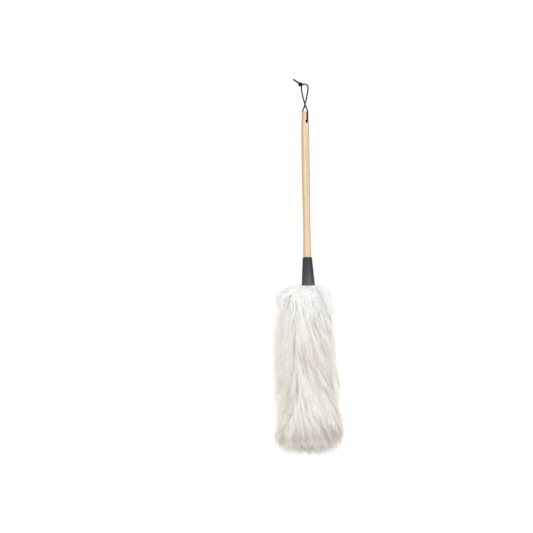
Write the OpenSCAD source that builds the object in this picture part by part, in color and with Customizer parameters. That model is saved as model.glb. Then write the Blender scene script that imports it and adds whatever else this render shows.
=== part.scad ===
// Lambswool duster on a turned wooden handle, hung up by a cord loop.
// Frame: the origin is the inside top of the loop, where a peg carries it. +Z is up and -Y is the front.
// All sizes are in millimetres and all angles in degrees.

/* [Handle] */
// Handle above the collar, from its top to the collar's upper edge
grip_len = 262; // [180:1:600]
// Diameter of the handle's rounded top
crown_d = 12.6; // [10:0.1:13.5]
// Diameter of the swelling that the hand holds
grip_d = 15; // [13:0.1:15.2]
// Diameter of the waist above the collar
waist_d = 13.3; // [10:0.1:15]
// Diameter of the rod where the collar and the pelt are fixed
rod_d = 14.8; // [10:0.1:22]
// Radius that rounds the top's edge
end_round = 3.6; // [1:0.1:5]
// Distance from the top to where the grip reaches its full diameter
shoulder_end = 38; // [30:1:60]
// Distance from the top to where the handle starts to narrow
swell_end = 130; // [80:1:150]
// Distance from the top to the waist
waist_pos = 205; // [155:1:240]
// Chamfer on the rod's hidden lower end
rod_chamfer = 1; // [0.5:0.1:2]

/* [Cord] */
// Diameter of the round waxed cord
cord_d = 2.5; // [2:0.1:2.8]
// Distance from the handle's top to the cross hole
hole_from_top = 18; // [16:0.5:19]
// Width of the cross hole beyond the cord's diameter
hole_play = 2.1; // [1.6:0.1:2.6]
// Diameter of the knot that closes the loop
knot_d = 8.4; // [7:0.1:9]
// Length of the knot along the tails
knot_len = 9; // [7:0.5:12]
// Length of each tail beyond the knot
tail_len = 13; // [6:0.5:30]
// Angle that each tail leans away from the other
tail_spread = 7; // [3:1:20]

/* [Collar] */
// Length of the collar at its front
collar_len = 52; // [40:1:75]
// Thickness of the collar's leather
collar_wall = 0.9; // [0.6:0.1:1.6]
// Angle through which the collar's two ends overlap at the back
lap_angle = 34; // [20:1:60]
// Sideways lean of the collar's lower edge
collar_lean = 1.2; // [0:0.1:2]
// Room left for wool roots between the pelt and the collar's lower edge
roots_room = 1; // [0.5:0.1:3]
// Distance from the collar's upper edge to its tack
tack_drop = 29; // [20:1:36]

/* [Pelt] */
// Thickness of the hide
hide_wall = 1.6; // [1:0.1:2.5]
// Width of the strip of pelt that is wound round the rod
strip_width = 30; // [20:1:45]
// Gap between two turns of the strip
strip_gap = 1; // [0.5:0.1:3]
// How far the strip's upper end is tucked under the collar
strip_tuck = 10; // [4:1:14]

/* [Tacks] */
// Diameter of every tack's shank
shank_d = 1.6; // [1.2:0.1:2]
// Diameter of the collar tack's domed head
dome_d = 5; // [4:0.1:7]
// Height of the collar tack's domed head
dome_rise = 1.3; // [0.8:0.1:2]
// Diameter of the hidden tacks' flat heads
flat_head_d = 5; // [4:0.1:7]
// Thickness of the hidden tacks' flat heads
flat_head_t = 0.8; // [0.6:0.1:1.2]
// How far each tack goes into the wood
tack_depth = 6; // [4:0.5:6.5]

/* [Wool] */
// Length of the wool head
head_len = 305; // [220:1:420]
// Diameter of the wool at its shoulder, below the collar
shoulder_d = 109; // [80:1:150]
// Largest diameter of the wool, near its lower end
belly_d = 126; // [90:1:180]
// Radius that rounds the wool's shoulder
shoulder_round = 34; // [20:1:36]
// Radius that rounds the wool's lower edge
tip_round = 30; // [15:1:38]
// Wool that stands beyond the rod's lower end
tip_pile = 46; // [30:1:70]
// How far the wool rises round the collar's lower edge
wool_rise = 5; // [2:1:8]

/* [Hidden] */

$fn = 96;

// Clearances between pieces that are fixed to each other
seat_gap = 0.1;    // hide or leather round wood, and wool round hide
lap_gap = 0.15;    // one layer of leather over the other
pierce_gap = 0.05; // a tack's shank in leather or hide
pilot_gap = 0.02;  // a tack's shank in wood
wool_gap = 0.4;    // wool round a collar or a tack
rise_gap = 0.15;   // between the cord and the top of the cross hole

// Half of the cord's route, from the middle of the cross hole up the front strand to the top of the loop.
// The other half is the same strand turned half round the vertical axis.
FRONT_STRAND = [
    [0, 0, -65.1], [1.2, -2.1, -65.1], [2.3, -4, -65.1], [3.3, -5.7, -64.4],
    [4, -7, -62.8], [4.3, -7.5, -60.4], [4.3, -7.5, -57], [4.3, -7.5, -53],
    [4.3, -7.5, -49], [3.7, -7, -44.5], [2.1, -6.1, -39.5], [0.2, -5, -33.5],
    [-1.9, -3.7, -27], [-3.8, -2.2, -19.5], [-5.2, -0.8, -12.5], [-5.9, -0.1, -6.5],
    [-5.6, 0, -2.6], [-3.5, 0, 0.1], [0, 0, 1.25]
];
cord_sides = 8;
cord_steps = 2;    // rings for each stretch between two points
knot_at = [-7.4, 0, 0.6];
tail_angle = 143;  // direction of the tails, from +X towards +Z

// The cross hole: the cord rests against its upper wall
hole_d = cord_d + hole_play;
hole_z = FRONT_STRAND[0].z - (hole_d - cord_d) / 2 + rise_gap;
hole_turn = 30;    // the front mouth faces this much towards +X
mouth_in = 2.1;    // depth of the countersink, measured from the crown's side
mouth_rise = 1.4;  // how much the countersink widens the hole on each side over its depth and overrun
mouth_over = 0.2;  // how far the countersink's cutter runs past the wood

// Heights
top_z = hole_z + hole_from_top;
collar_z = top_z - grip_len;
wool_top_z = collar_z - collar_len + wool_rise;
wool_end_z = wool_top_z - head_len;
rod_end_z = wool_end_z + tip_pile;
strip_top_z = collar_z - collar_len + strip_tuck;

// Radii
rod_r = rod_d / 2;
hide_in_r = rod_r + seat_gap;
hide_out_r = hide_in_r + hide_wall;
collar_top_r = rod_r + seat_gap + collar_wall;
collar_mouth_r = hide_out_r + roots_room + collar_wall + collar_lean;
core_r = hide_out_r + pierce_gap + flat_head_t + wool_gap;

// The collar is a sheet with straight edges, rolled into a cone, so both edges dip towards the seam
cone_angle = atan((collar_mouth_r - collar_top_r) / collar_len);
slant_top = collar_top_r / sin(cone_angle);
slant_end = collar_mouth_r / sin(cone_angle);
half_wrap = 180 + lap_angle / 2;
lap_ramp = 30;     // the outer end rises over the inner one through this angle
lap_lift = collar_wall + lap_gap;
collar_cols = 54;
collar_rows = 6;
slant_seam = slant_end / cos(half_wrap * sin(cone_angle));
seam_dip = (slant_seam - slant_end) * cos(cone_angle);
throat_r = slant_seam * sin(cone_angle) + max(lap_lift, collar_lean) + wool_gap;

// The wound strip
strip_pitch = strip_width + strip_gap;
strip_turns = (strip_top_z - rod_end_z - strip_width) / strip_pitch;
cols_per_turn = 24;
strip_cols = ceil(strip_turns * cols_per_turn);
strip_start = 90;  // the strip's upper end lies under the collar's seam
end_turns = 0.12;  // distance of a tack from the strip's end, in turns

function ease(t) = (1 - cos(180 * min(max(t, 0), 1))) / 2;

// Radius of the handle at a distance from its top
function handle_r(s) = (
    crown_d
    + (grip_d - crown_d) * ease((s - end_round) / (shoulder_end - end_round))
    - (grip_d - waist_d) * ease((s - swell_end) / (waist_pos - swell_end))
    + (rod_d - waist_d) * ease((s - waist_pos) / (grip_len - waist_pos))
) / 2;

function arc(centre, r, from, to, steps) = [
    for (i = [0 : steps])
        let (a = from + (to - from) * i / steps)
        centre + r * [cos(a), sin(a)]
];

taper_step = 5;
handle_outline = concat(
    [[0, rod_end_z], [0, top_z]],
    arc([crown_d / 2 - end_round, top_z - end_round], end_round, 90, 0, 8),
    [for (s = [end_round + taper_step : taper_step : grip_len - 1]) [handle_r(s), top_z - s]],
    [[rod_r, collar_z], [rod_r, rod_end_z + rod_chamfer], [rod_r - rod_chamfer, rod_end_z]]
);

module cross_axis() {
    translate([0, 0, hole_z])
        rotate([0, 0, hole_turn])
            rotate([90, 0, 0])
                children();
}

module cross_hole() {
    mouth_r = handle_r(hole_from_top);
    cross_axis() cylinder(h = 3 * grip_d, d = hole_d, center = true);
    for (side = [0, 180])
        cross_axis() rotate([side, 0, 0])
            translate([0, 0, mouth_r - mouth_in])
                cylinder(h = mouth_in + mouth_over, d1 = hole_d, d2 = hole_d + 2 * mouth_rise);
}

// Puts its children at a height, pointing out from the axis towards an angle
module outward(angle, height) {
    translate([0, 0, height])
        rotate([0, 0, angle])
            rotate([0, 90, 0])
                children();
}

// A tack's shank from a depth in the wood out to a radius, with some play
module shank(out_r, play) {
    start = rod_r - tack_depth - play;
    translate([0, 0, start])
        cylinder(h = out_r - start, d = shank_d + 2 * play, $fn = 32);
}

// Where the strip's two tacks go: [angle, height]
strip_tack_places = [
    for (t = [end_turns, strip_turns - end_turns])
        [strip_start + 360 * t, strip_top_z - strip_pitch * t - strip_width / 2]
];

module handle() {
    color("burlywood")
        difference() {
            rotate_extrude() polygon(handle_outline);
            cross_hole();
            outward(90, collar_z - tack_drop) shank(rod_r + 1, pilot_gap);
            for (place = strip_tack_places)
                outward(place[0], place[1]) shank(rod_r + 1, pilot_gap);
            translate([0, 0, rod_end_z - 1])
                cylinder(h = tack_depth + 1 + pilot_gap, d = shank_d + 2 * pilot_gap, $fn = 32);
        }
}

// Faces of a bent slab. Its points run along the columns, then the rows, then inner and outer skin.
function slab_index(c, r, skin, rows) = (c * (rows + 1) + r) * 2 + skin;
function slab_faces(cols, rows) = concat(
    [for (c = [0 : cols - 1], r = [0 : rows - 1]) [
        slab_index(c, r, 1, rows), slab_index(c, r + 1, 1, rows),
        slab_index(c + 1, r + 1, 1, rows), slab_index(c + 1, r, 1, rows)]],
    [for (c = [0 : cols - 1], r = [0 : rows - 1]) [
        slab_index(c, r, 0, rows), slab_index(c + 1, r, 0, rows),
        slab_index(c + 1, r + 1, 0, rows), slab_index(c, r + 1, 0, rows)]],
    [for (c = [0 : cols - 1]) [
        slab_index(c, 0, 0, rows), slab_index(c, 0, 1, rows),
        slab_index(c + 1, 0, 1, rows), slab_index(c + 1, 0, 0, rows)]],
    [for (c = [0 : cols - 1]) [
        slab_index(c, rows, 1, rows), slab_index(c, rows, 0, rows),
        slab_index(c + 1, rows, 0, rows), slab_index(c + 1, rows, 1, rows)]],
    [for (r = [0 : rows - 1]) [
        slab_index(0, r, 0, rows), slab_index(0, r + 1, 0, rows),
        slab_index(0, r + 1, 1, rows), slab_index(0, r, 1, rows)]],
    [for (r = [0 : rows - 1]) [
        slab_index(cols, r, 1, rows), slab_index(cols, r + 1, 1, rows),
        slab_index(cols, r + 1, 0, rows), slab_index(cols, r, 0, rows)]]
);

// A point of the collar: turn is measured from the front, down runs from 0 to 1, skin is 0 inside and 1 outside
function collar_point(turn, down, skin) =
    let (
        slant = (slant_top + (slant_end - slant_top) * down) / cos(turn * sin(cone_angle)),
        lift = lap_lift * ease((turn - 180 + lap_angle / 2 + lap_ramp) / lap_ramp),
        r = slant * sin(cone_angle) + lift - collar_wall * (1 - skin),
        drop = (slant - slant_top) * cos(cone_angle)
    )
    [r * sin(turn) + collar_lean * drop / collar_len, -r * cos(turn), collar_z - drop];

module collar() {
    points = [
        for (c = [0 : collar_cols], r = [0 : collar_rows], skin = [0, 1])
            collar_point(half_wrap * (2 * c / collar_cols - 1), r / collar_rows, skin)
    ];
    color("dimgray")
        difference() {
            polyhedron(points, slab_faces(collar_cols, collar_rows), convexity = 6);
            outward(90, collar_z - tack_drop) shank(2 * collar_mouth_r, pierce_gap);
        }
}

// Where the dome's flat side sits: its lower rim just clears the lapped seam, which widens downwards
tack_seat_r = collar_top_r + (tack_drop + dome_d / 2) * tan(cone_angle) + lap_lift + pierce_gap;

module collar_tack() {
    dome_r = (dome_rise ^ 2 + (dome_d / 2) ^ 2) / (2 * dome_rise);
    half_arc = asin(dome_d / 2 / dome_r);
    color("gold")
        outward(90, collar_z - tack_drop) {
            shank(tack_seat_r + dome_rise / 2, 0);
            translate([0, 0, tack_seat_r])
                rotate_extrude($fn = 48)
                    polygon(concat([[0, 0]], arc([0, dome_rise - dome_r], dome_r, 90 - half_arc, 90, 8)));
        }
}

// A point of the strip, at a number of turns from its upper end
function strip_point(t, across, skin) =
    let (
        a = strip_start + 360 * t,
        r = hide_in_r + hide_wall * skin
    )
    [r * cos(a), r * sin(a), strip_top_z - strip_pitch * t - strip_width * across];

module pelt_strip() {
    points = [
        for (c = [0 : strip_cols], across = [0, 1], skin = [0, 1])
            strip_point(strip_turns * c / strip_cols, across, skin)
    ];
    color("wheat")
        difference() {
            polyhedron(points, [for (face = slab_faces(strip_cols, 1)) [for (i = [3 : -1 : 0]) face[i]]],
                       convexity = 20);
            for (place = strip_tack_places)
                outward(place[0], place[1]) shank(2 * hide_out_r, pierce_gap);
        }
}

module strip_tacks() {
    color("silver")
        for (place = strip_tack_places)
            outward(place[0], place[1]) {
                shank(hide_out_r + pierce_gap + flat_head_t / 2, 0);
                translate([0, 0, hide_out_r + pierce_gap])
                    cylinder(h = flat_head_t, d = flat_head_d, $fn = 48);
            }
}

patch_top_z = rod_end_z - seat_gap;
patch_end_z = patch_top_z - hide_wall;

module tip_patch() {
    color("wheat")
        difference() {
            translate([0, 0, patch_end_z]) cylinder(h = hide_wall, r = hide_out_r);
            translate([0, 0, patch_end_z - 1])
                cylinder(h = hide_wall + 2, d = shank_d + 2 * pierce_gap, $fn = 32);
        }
}

module tip_tack() {
    head_top_z = patch_end_z - pierce_gap;
    color("silver")
        translate([0, 0, head_top_z]) {
            translate([0, 0, -flat_head_t]) cylinder(h = flat_head_t, d = flat_head_d, $fn = 48);
            translate([0, 0, -flat_head_t / 2])
                cylinder(h = rod_end_z + tack_depth - head_top_z + flat_head_t / 2, d = shank_d, $fn = 32);
        }
}

module fleece() {
    throat_z = collar_z - collar_len - seam_dip - wool_gap;
    core_end_z = patch_end_z - pierce_gap - flat_head_t - wool_gap;
    shoulder_r = shoulder_d / 2;
    belly_r = belly_d / 2;
    outline = concat(
        [[throat_r, wool_top_z]],
        arc([shoulder_r - shoulder_round, wool_top_z - shoulder_round], shoulder_round, 90, 0, 12),
        arc([belly_r - tip_round, wool_end_z + tip_round], tip_round, 0, -90, 12),
        [[0, wool_end_z], [0, core_end_z], [core_r, core_end_z], [core_r, throat_z], [throat_r, throat_z]]
    );
    color("ivory") rotate_extrude() polygon(outline);
}

// The whole loop, as a closed ring of points
top_at = len(FRONT_STRAND) - 1;
cord_route = concat(
    FRONT_STRAND,
    [for (i = [1 : top_at - 1]) let (p = FRONT_STRAND[top_at - i]) [-p.x, -p.y, p.z]]
);
route_len = len(cord_route);
ring_count = route_len * cord_steps;

function route_at(i) = cord_route[(i + route_len) % route_len];

// Catmull-Rom curve through the route: each stretch is set by the two points on either side of it
function cord_at(k) =
    let (
        i = floor(k / cord_steps),
        t = k / cord_steps - i,
        a = route_at(i - 1), b = route_at(i), c = route_at(i + 1), d = route_at(i + 2)
    )
    (2 * b + (c - a) * t + (2 * a - 5 * b + 4 * c - d) * t ^ 2 + (3 * b - a - 3 * c + d) * t ^ 3) / 2;

function unit(v) = v / norm(v);

// One ring of the tube, square to the curve
function cord_ring(k) =
    let (
        ahead = unit(cord_at(k + 1) - cord_at(k - 1 + ring_count)),
        side = unit(cross(ahead, [cos(hole_turn), sin(hole_turn), 0])),
        up = cross(side, ahead)
    )
    [for (j = [0 : cord_sides - 1])
        let (a = 360 * j / cord_sides)
        cord_at(k) + cord_d / 2 * (cos(a) * side + sin(a) * up)];

module hanging_cord() {
    points = [for (k = [0 : ring_count - 1]) each cord_ring(k)];
    faces = [
        for (k = [0 : ring_count - 1], j = [0 : cord_sides - 1])
            let (
                next_k = (k + 1) % ring_count,
                next_j = (j + 1) % cord_sides
            )
            [k * cord_sides + j, next_k * cord_sides + j,
             next_k * cord_sides + next_j, k * cord_sides + next_j]
    ];
    color("black") polyhedron(points, faces, convexity = 8);
}

module tail(lean) {
    rotate([0, lean, 0]) cylinder(h = knot_len / 2 + tail_len, d = cord_d, $fn = 24);
}

module cord_knot() {
    bulge_r = (knot_len / 2) ^ 2 / knot_d + knot_d / 4;
    half_arc = asin(knot_len / 2 / bulge_r);
    color("black")
        translate(knot_at)
            rotate([0, 90 - tail_angle, 0]) {
                rotate_extrude($fn = 48)
                    polygon(arc([knot_d / 2 - bulge_r, 0], bulge_r, -half_arc, half_arc, 12));
                tail(tail_spread);
                tail(-tail_spread);
            }
}

handle();
collar();
collar_tack();
pelt_strip();
strip_tacks();
tip_patch();
tip_tack();
fleece();
hanging_cord();
cord_knot();
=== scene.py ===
"""Looks of a lambswool duster: its cord loop, turned handle, leather collar, wound pelt and wool.

Everything is in metres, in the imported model's frame. The origin is the inside top of the loop, +Z is up
and -Y is the front. Azimuths are measured from the front, towards +X.
"""

import logging
from dataclasses import dataclass, field
from enum import Enum

import bmesh
import bpy
import numpy as np
from mathutils import Matrix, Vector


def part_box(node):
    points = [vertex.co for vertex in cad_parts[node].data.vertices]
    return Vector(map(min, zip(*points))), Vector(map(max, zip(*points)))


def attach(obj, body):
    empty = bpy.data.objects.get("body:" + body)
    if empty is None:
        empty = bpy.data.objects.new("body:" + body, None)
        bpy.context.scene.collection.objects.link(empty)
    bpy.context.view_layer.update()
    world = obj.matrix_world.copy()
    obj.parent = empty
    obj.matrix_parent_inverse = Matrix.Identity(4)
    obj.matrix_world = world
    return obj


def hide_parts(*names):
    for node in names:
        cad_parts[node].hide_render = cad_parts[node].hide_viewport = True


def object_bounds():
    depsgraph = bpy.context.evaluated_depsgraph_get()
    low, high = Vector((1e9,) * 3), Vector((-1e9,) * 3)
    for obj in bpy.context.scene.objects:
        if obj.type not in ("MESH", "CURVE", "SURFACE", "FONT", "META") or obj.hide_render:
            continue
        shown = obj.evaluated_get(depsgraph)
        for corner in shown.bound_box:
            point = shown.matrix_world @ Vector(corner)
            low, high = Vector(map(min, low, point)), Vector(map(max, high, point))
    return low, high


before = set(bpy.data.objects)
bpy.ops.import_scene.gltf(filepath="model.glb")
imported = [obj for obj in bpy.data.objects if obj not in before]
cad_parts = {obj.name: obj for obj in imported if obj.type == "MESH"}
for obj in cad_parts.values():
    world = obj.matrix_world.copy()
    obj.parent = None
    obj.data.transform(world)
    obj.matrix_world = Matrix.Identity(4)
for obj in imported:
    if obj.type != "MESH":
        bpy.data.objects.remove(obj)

CAD_BOX = [list(corner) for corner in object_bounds()]
MM = 0.001
LOG = logging.getLogger("duster")
Socket = bpy.types.NodeSocket
Colour = tuple[float, float, float]
Point = tuple[float, float, float]


class Slot(Enum):
    """Material slots of the new pieces."""

    LEATHER = "collar_leather"
    HIDE = "hide"
    WOOL = "wool"
    CORD = "cord"


class Body(Enum):
    """The two bodies that the pieces ride on."""

    LOOP = "hanging_loop"
    DUSTER = "duster"


# ---------------------------------------------------------------- numbers and meshes


def ease(x: np.ndarray) -> np.ndarray:
    """Half a cosine wave: 0 up to x = 0, 1 from x = 1."""
    return (1 - np.cos(np.pi * np.clip(x, 0, 1))) / 2


def unit(vectors: np.ndarray) -> np.ndarray:
    """The vectors along the last axis, each made 1 long."""
    return vectors / np.linalg.norm(vectors, axis=-1, keepdims=True)


def rounded(to_end: np.ndarray, half: float, least: float = 0.0) -> np.ndarray:
    """Share of the full size at a distance from an end that closes as a circle of the radius half."""
    return np.sqrt(np.clip(1 - np.clip(1 - to_end / half, 0, 1) ** 2, least, 1))


def about_rod(radius: np.ndarray, azimuth: np.ndarray, height: np.ndarray) -> np.ndarray:
    """Points at distances from the rod's axis, azimuths and heights."""
    parts = np.broadcast_arrays(radius * np.sin(azimuth), -radius * np.cos(azimuth), height)
    return np.stack(parts, axis=-1)


def pole_fan(first: int, count: int, pole: int, flip: bool) -> np.ndarray:
    """Triangles between a closed ring of points and a pole.

    Args:
        first: Number of the ring's first point.
        count: Number of points in the ring.
        pole: Number of the pole's point.
        flip: Whether the triangles run against the ring.

    Returns:
        An array of three point numbers for each triangle.
    """
    here = first + np.arange(count)
    beside = first + (np.arange(count) + 1) % count
    middle = np.full(count, pole)
    return np.stack([here, middle, beside] if flip else [here, beside, middle], axis=-1)


def lap_index(rows: int, cols: int, wrap: bool) -> np.ndarray:
    """Corners of the quads of a grid whose points run along the columns first.

    Args:
        rows: Number of rows of points.
        cols: Number of points in a row.
        wrap: Whether each row closes on itself.

    Returns:
        An array of four point numbers for each quad.
    """
    row, col = np.meshgrid(np.arange(rows - 1), np.arange(cols if wrap else cols - 1), indexing="ij")
    here = row * cols + col
    beside = row * cols + (col + 1) % cols
    return np.stack([here, beside, beside + cols, here + cols], axis=-1).reshape(-1, 4)


def add_object(
    name: str,
    points: np.ndarray,
    quads: np.ndarray,
    tris: np.ndarray | None = None,
    corner_uv: np.ndarray | None = None,
    uv_name: str = "lay",
) -> bpy.types.Object:
    """Puts arrays into a new smooth mesh object at the origin.

    Args:
        name: Name of the piece.
        points: Point places, three numbers each.
        quads: Point numbers of the four-sided faces.
        tris: Point numbers of the three-sided faces.
        corner_uv: Two numbers for each face corner, quads first.
        uv_name: Name of the UV map.

    Returns:
        The new object, linked to the scene.
    """
    tris = np.zeros((0, 3), int) if tris is None else tris
    starts = np.concatenate([np.arange(len(quads)) * 4, 4 * len(quads) + np.arange(len(tris)) * 3])
    corners = np.concatenate([quads.ravel(), tris.ravel()])
    mesh = bpy.data.meshes.new(name)
    mesh.vertices.add(len(points))
    mesh.vertices.foreach_set("co", np.ascontiguousarray(points, np.float32).ravel())
    mesh.loops.add(len(corners))
    mesh.loops.foreach_set("vertex_index", corners.astype(np.int32))
    mesh.polygons.add(len(starts))
    mesh.polygons.foreach_set("loop_start", starts.astype(np.int32))
    mesh.polygons.foreach_set("use_smooth", np.ones(len(starts), bool))
    mesh.update(calc_edges=True)
    if corner_uv is not None:
        mesh.uv_layers.new(name=uv_name).uv.foreach_set("vector", corner_uv.astype(np.float32).ravel())
    mesh.validate()
    piece = bpy.data.objects.new(name, mesh)
    bpy.context.scene.collection.objects.link(piece)
    return piece


def tube(path: np.ndarray, reference: np.ndarray, radius: np.ndarray, sides: int) -> tuple:
    """A round tube with flat ends along a path.

    Formula in words: at each path point a circle of the radius stands square to the path, turned so that its
    first point lies along the cross product of the path's direction and the reference direction.

    Args:
        path: Points of the middle line.
        reference: One direction, or one for each path point, never along the path.
        radius: One radius, or one for each path point.
        sides: Number of points round the tube.

    Returns:
        Points, quads, triangles of the two ends, and the UV of each corner: once round, and metres along.
    """
    rings = len(path)
    ahead = unit(np.gradient(path, axis=0))
    side = unit(np.cross(ahead, np.broadcast_to(reference, path.shape)))
    up = np.cross(ahead, side)
    turn = 2 * np.pi * np.arange(sides) / sides
    size = np.broadcast_to(radius, rings)[:, None, None]
    circle = np.cos(turn)[None, :, None] * side[:, None] + np.sin(turn)[None, :, None] * up[:, None]
    points = np.concatenate([(path[:, None] + size * circle).reshape(-1, 3), path[[0, -1]]])
    quads = lap_index(rings, sides, True)
    first_end = pole_fan(0, sides, rings * sides, True)
    last_end = pole_fan((rings - 1) * sides, sides, rings * sides + 1, False)
    tris = np.concatenate([first_end, last_end])
    along = np.concatenate([[0], np.cumsum(np.linalg.norm(np.diff(path, axis=0), axis=1))])
    ring, place = np.divmod(np.arange(len(quads)), sides)
    around = np.stack([place, place + 1, place + 1, place], axis=-1) / sides
    onward = along[np.stack([ring, ring, ring + 1, ring + 1], axis=-1)]
    flat_end = np.tile([[0.0, 0.0], [0.5, 0.0], [1.0, 0.0]], (2 * sides, 1)) + [0, along[-1]]
    corner_uv = np.concatenate([np.stack([around, onward], axis=-1).reshape(-1, 2), flat_end])
    return points, quads, tris, corner_uv


def joined(parts: list[tuple]) -> tuple:
    """Several sets of points, quads, triangles and corner UVs made into one.

    Args:
        parts: Points, quads, triangles and corner UVs of each.

    Returns:
        The same four for the whole.
    """
    counts = np.cumsum([0] + [len(part[0]) for part in parts[:-1]])
    points = np.concatenate([part[0] for part in parts])
    quads = np.concatenate([part[1] + count for part, count in zip(parts, counts)])
    tris = np.concatenate([part[2] + count for part, count in zip(parts, counts)])
    quad_uv = [part[3][: 4 * len(part[1])] for part in parts]
    tri_uv = [part[3][4 * len(part[1]) :] for part in parts]
    return points, quads, tris, np.concatenate(quad_uv + tri_uv)


def place_piece(piece: bpy.types.Object, body: Body, slot: Slot, *nodes: str) -> bpy.types.Object:
    """Makes a finished piece ride on its body and stand for CAD nodes.

    Args:
        piece: The finished piece.
        body: The body that it rides on.
        slot: The record's slot for its finish; not used.
        nodes: CAD nodes that it replaces.

    Returns:
        The same piece.
    """
    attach(piece, body.value)
    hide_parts(*nodes)
    LOG.info("%s: %d faces on %s", piece.name, len(piece.data.polygons), body.value)
    return piece


# ---------------------------------------------------------------- shader tools


@dataclass
class Graph:
    """One node tree, with short ways to add and join its nodes."""

    tree: bpy.types.NodeTree

    def feed(self, node: bpy.types.Node, inputs: dict) -> None:
        """Joins sockets to a node's inputs, or sets their plain values.

        Args:
            node: The node.
            inputs: Sockets or plain values, by input name or number.
        """
        for key, value in inputs.items():
            if isinstance(value, Socket):
                self.tree.links.new(value, node.inputs[key])
            else:
                node.inputs[key].default_value = value

    def add(self, kind: str, inputs: dict | None = None, **settings: object) -> bpy.types.Node:
        """Adds a node.

        Args:
            kind: Blender's name for the node type.
            inputs: Sockets to join, or plain values, by input name or number.
            settings: The node's own properties.

        Returns:
            The new node.
        """
        node = self.tree.nodes.new(kind)
        for name, value in settings.items():
            setattr(node, name, value)
        self.feed(node, inputs or {})
        return node

    def math(self, operation: str, first: object, second: object = 0.0) -> Socket:
        """Joins two numbers with an operation of the Math node."""
        return self.add("ShaderNodeMath", {0: first, 1: second}, operation=operation).outputs[0]

    def distance(self, value: Socket, place: float) -> Socket:
        """How far a value is from a place, without its sign."""
        return self.math("ABSOLUTE", self.math("SUBTRACT", value, place))

    def fade(self, value: Socket, start: float, end: float, low: float = 0.0, high: float = 1.0) -> Socket:
        """Smooth step of a value from low at start to high at end."""
        inputs = {"Value": value, "From Min": start, "From Max": end, "To Min": low, "To Max": high}
        return self.add("ShaderNodeMapRange", inputs, interpolation_type="SMOOTHSTEP").outputs[0]

    def mix(self, share: object, first: object, second: object, blend: str = "MIX") -> Socket:
        """Mixes two colours.

        Args:
            share: How much of the second colour, from 0 to 1.
            first: A socket or a plain colour.
            second: A socket or a plain colour.
            blend: How the two are put together.

        Returns:
            The mixed colour.
        """
        ends = [value if isinstance(value, Socket) else (*value, 1.0) for value in (first, second)]
        settings = {"data_type": "RGBA", "blend_type": blend, "clamp_factor": True}
        return self.add("ShaderNodeMix", {0: share, 6: ends[0], 7: ends[1]}, **settings).outputs[2]

    def shaded(self, colour: Socket, by: Socket) -> Socket:
        """A colour with all its parts multiplied by a number."""
        grey = self.add("ShaderNodeCombineColor", {0: by, 1: by, 2: by}).outputs[0]
        return self.mix(1.0, colour, grey, "MULTIPLY")

    def ramp(self, value: Socket, stops: list[tuple[float, Colour]]) -> Socket:
        """Colour for a value, from stops of a place and a colour.

        Args:
            value: A number from 0 to 1.
            stops: Places and their colours.

        Returns:
            The colour.
        """
        node = self.add("ShaderNodeValToRGB", {"Fac": value})
        elements = node.color_ramp.elements
        while len(elements) < len(stops):
            elements.new(1.0)
        for element, (place, colour) in zip(elements, stops):
            element.position = place
            element.color = (*colour, 1.0)
        return node.outputs["Color"]

    def effect(self, group: bpy.types.NodeTree, inputs: dict) -> Socket:
        """Places a shared effect with its own values, and gives its output."""
        return self.add("ShaderNodeGroup", inputs, node_tree=group).outputs[0]

    def bump(self, height: Socket, distance: float, strength: float = 1.0) -> Socket:
        """A normal from a height, which is 1 for the distance in metres."""
        inputs = {"Height": height, "Distance": distance, "Strength": strength}
        return self.add("ShaderNodeBump", inputs).outputs[0]


def new_group(name: str, inputs: dict[str, float | None], output: str) -> tuple[Graph, dict, Socket]:
    """Starts a shader node group.

    Args:
        name: Name of the group.
        inputs: Input names, each with its usual value, or None for a vector.
        output: Name of the output, which is a number.

    Returns:
        The group's graph, its inputs by name, and the socket that its result goes to.
    """
    tree = bpy.data.node_groups.new(name, "ShaderNodeTree")
    for label, usual in inputs.items():
        kind = "NodeSocketVector" if usual is None else "NodeSocketFloat"
        socket = tree.interface.new_socket(label, in_out="INPUT", socket_type=kind)
        if usual is not None:
            socket.default_value = usual
    tree.interface.new_socket(output, in_out="OUTPUT", socket_type="NodeSocketFloat")
    graph = Graph(tree)
    entry = graph.add("NodeGroupInput")
    result = graph.add("NodeGroupOutput")
    return graph, {label: entry.outputs[label] for label in inputs}, result.inputs[0]


def make_streaks() -> bpy.types.NodeTree:
    """Soft streaks along Z: noise whose pattern is drawn out by a slow rate along and quick rates across.

    Returns:
        The group.
    """
    usual = {"Vector": None, "Across X": 900, "Across Y": 900, "Along": 9}
    graph, given, result = new_group("streaks", usual, "Streak")
    by_axis = {"X": given["Across X"], "Y": given["Across Y"], "Z": given["Along"]}
    rates = graph.add("ShaderNodeCombineXYZ", by_axis)
    drawn = graph.add("ShaderNodeVectorMath", {0: given["Vector"], 1: rates.outputs[0]}, operation="MULTIPLY")
    pattern = {"Vector": drawn.outputs[0], "Scale": 1.0, "Detail": 3.0, "Distortion": 0.35}
    noise = graph.add("ShaderNodeTexNoise", pattern)
    graph.tree.links.new(noise.outputs["Fac"], result)
    return graph.tree


def make_mottle() -> bpy.types.NodeTree:
    """Cloudy variation between two values, at a number of clouds in each metre.

    Returns:
        The group.
    """
    usual = {"Vector": None, "Rate": 200, "Low": 0.9, "High": 1.1}
    graph, given, result = new_group("mottle", usual, "Value")
    pattern = {"Vector": given["Vector"], "Scale": given["Rate"], "Detail": 4.0}
    noise = graph.add("ShaderNodeTexNoise", pattern).outputs["Fac"]
    middle = {"Value": noise, "From Min": 0.3, "From Max": 0.7}
    spread = {**middle, "To Min": given["Low"], "To Max": given["High"]}
    graph.tree.links.new(graph.add("ShaderNodeMapRange", spread).outputs[0], result)
    return graph.tree


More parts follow.
